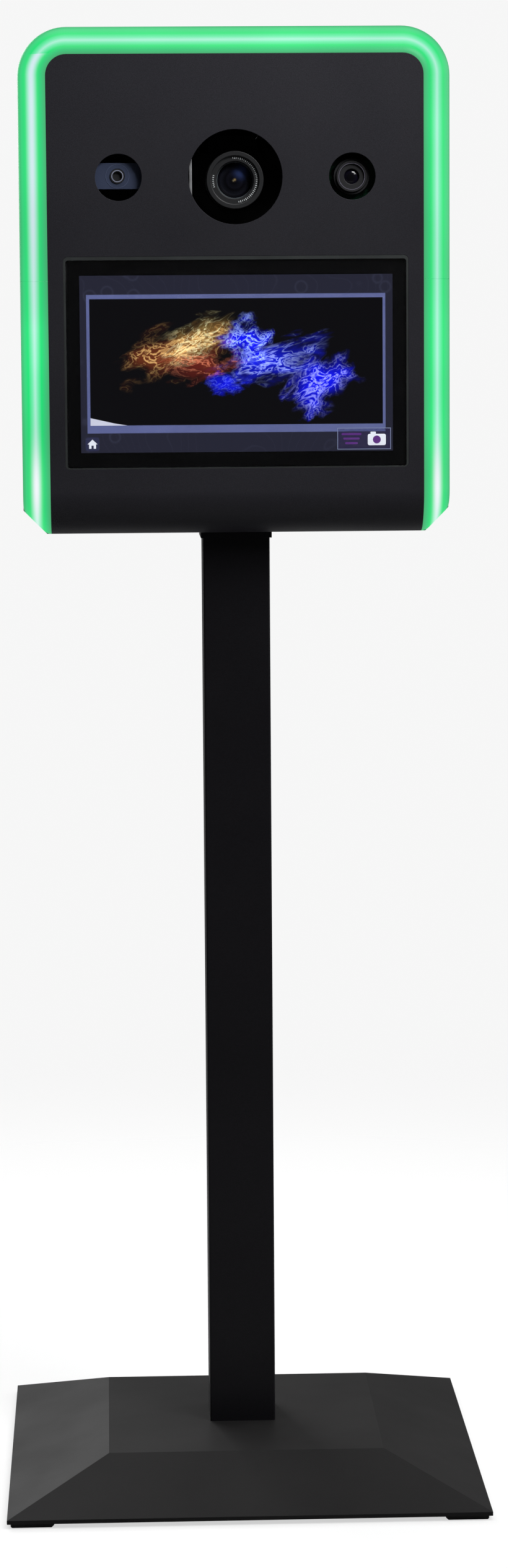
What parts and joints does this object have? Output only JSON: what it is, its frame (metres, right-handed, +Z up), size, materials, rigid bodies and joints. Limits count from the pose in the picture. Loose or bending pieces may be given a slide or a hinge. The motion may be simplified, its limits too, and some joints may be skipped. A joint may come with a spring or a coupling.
{
  "type": "photo booth",
  "caption": "Free-standing photo booth: slim black head with three camera ports, a touch screen and a green lit edge, on a square column and a hipped steel foot.",
  "frame": {"origin": "On the floor, at the centre of the square foot.", "axes": "+X to the right of a person who faces the screen, +Y from the screen towards the rear door, +Z up"},
  "size_m": [0.534, 0.534, 1.63],
  "materials": {
    "black_powder_coat": "satin",
    "foot_powder_coat": "satin",
    "light_diffuser": "satin",
    "cover_glass": "gloss",
    "display_face": "gloss",
    "black_plastic": "matte",
    "lens_glass": "gloss",
    "rubber_black": "matte",
    "zinc_steel": "satin",
    "raw_aluminium": "satin",
    "circuit_green": "satin",
    "webcam_blue_grey": "satin",
    "strip_white": "satin",
    "rocker_red": "satin"
  },
  "bodies": {
    "stand": {"base_cover": "foot_powder_coat", "ballast_plate": "foot_powder_coat", "base_pads": "rubber_black", "column_flange": "zinc_steel", "flange_bolts": "zinc_steel", "lower_column": "black_powder_coat", "upper_column": "black_powder_coat", "column_sleeve": "zinc_steel", "sleeve_screws": "zinc_steel"},
    "head": {"column_socket": "black_powder_coat", "body_shell": "black_powder_coat", "rear_frame": "black_powder_coat", "chassis": "zinc_steel", "front_panel": "black_powder_coat", "light_channel": "raw_aluminium", "diffuser_arch": "light_diffuser", "diffuser_leg_left": "light_diffuser", "diffuser_leg_right": "light_diffuser", "led_strip_top": "strip_white", "led_strip_left": "strip_white", "led_strip_right": "strip_white", "screen_bezel": "black_powder_coat", "touch_glass": "cover_glass", "display_panel": "display_face", "monitor_case": "raw_aluminium", "monitor_brackets": "zinc_steel", "tilt_screws": "zinc_steel", "webcam_body": "webcam_blue_grey", "webcam_lens": "lens_glass", "webcam_bracket": "black_powder_coat", "side_camera_board": "circuit_green", "side_camera_lens": "black_plastic", "side_camera_glass": "lens_glass", "side_camera_bracket": "zinc_steel", "mini_computer": "black_plastic", "power_supply": "raw_aluminium", "light_controller": "strip_white", "power_inlet": "black_plastic", "door_hinges_fixed": "zinc_steel", "door_hinge_pins": "zinc_steel", "panel_screws": "zinc_steel"},
    "door": {"rear_door": "black_powder_coat", "door_hinges_moving": "zinc_steel", "fan_frame": "black_plastic", "fan_guard": "zinc_steel", "fan_screws": "zinc_steel"},
    "camera": {"camera_cradle": "raw_aluminium", "camera_screw": "zinc_steel", "slr_body": "black_plastic", "slr_lens_tube": "black_plastic", "slr_front_glass": "lens_glass"},
    "clamp_knob_lower": {"clamp_knob_lower": "black_plastic"},
    "clamp_knob_upper": {"clamp_knob_upper": "black_plastic"},
    "rocker": {"power_rocker": "rocker_red"},
    "latch": {"door_latch": "black_plastic"},
    "rotor": {"fan_rotor": "black_plastic"},
    "zoom_ring": {"slr_zoom_ring": "rubber_black"},
    "focus_ring": {"slr_focus_ring": "black_plastic"},
    "mode_dial": {"slr_mode_dial": "black_plastic"},
    "shutter_button": {"slr_shutter_button": "black_plastic"}
  },
  "joints": [
    {"name": "head_lift", "type": "slide", "parent": "stand", "child": "head", "axis": [0, 0, 1], "range_m": [0, 0.1]},
    {"name": "lower_clamp_turn", "type": "hinge", "parent": "head", "child": "clamp_knob_lower", "pos_m": [0, 0.05, 1.145], "axis": [0, 1, 0], "continuous": true},
    {"name": "upper_clamp_turn", "type": "hinge", "parent": "head", "child": "clamp_knob_upper", "pos_m": [0, 0.05, 1.171], "axis": [0, 1, 0], "continuous": true},
    {"name": "door_swing", "type": "hinge", "parent": "head", "child": "door", "pos_m": [-0.202, 0.097, 1.375], "axis": [0, 0, 1], "range_deg": [0, 110]},
    {"name": "latch_turn", "type": "hinge", "parent": "door", "child": "latch", "pos_m": [0.176, 0.0928, 1.375], "axis": [0, -1, 0], "range_deg": [0, 90]},
    {"name": "fan_spin", "type": "hinge", "parent": "door", "child": "rotor", "pos_m": [0, 0.0803, 1.536], "axis": [0, 1, 0], "continuous": true},
    {"name": "rocker_tilt", "type": "hinge", "parent": "head", "child": "rocker", "pos_m": [-0.103, 0.0903, 1.109], "axis": [1, 0, 0], "range_deg": [0, 12]},
    {"name": "camera_tilt", "type": "hinge", "parent": "head", "child": "camera", "pos_m": [0, 0.012, 1.411], "axis": [1, 0, 0], "range_deg": [-4, 4]},
    {"name": "zoom_turn", "type": "hinge", "parent": "camera", "child": "zoom_ring", "pos_m": [0, -0.043, 1.463], "axis": [0, 1, 0], "range_deg": [-40, 40]},
    {"name": "focus_turn", "type": "hinge", "parent": "camera", "child": "focus_ring", "pos_m": [0, -0.07, 1.463], "axis": [0, 1, 0], "range_deg": [-60, 60]},
    {"name": "mode_dial_turn", "type": "hinge", "parent": "camera", "child": "mode_dial", "pos_m": [0.0395, 0.008, 1.495], "axis": [0, 0, 1], "continuous": true},
    {"name": "shutter_press", "type": "slide", "parent": "camera", "child": "shutter_button", "axis": [0, 0, -1], "range_m": [0, 0.0015], "stiffness_N_per_m": 300}
  ]
}
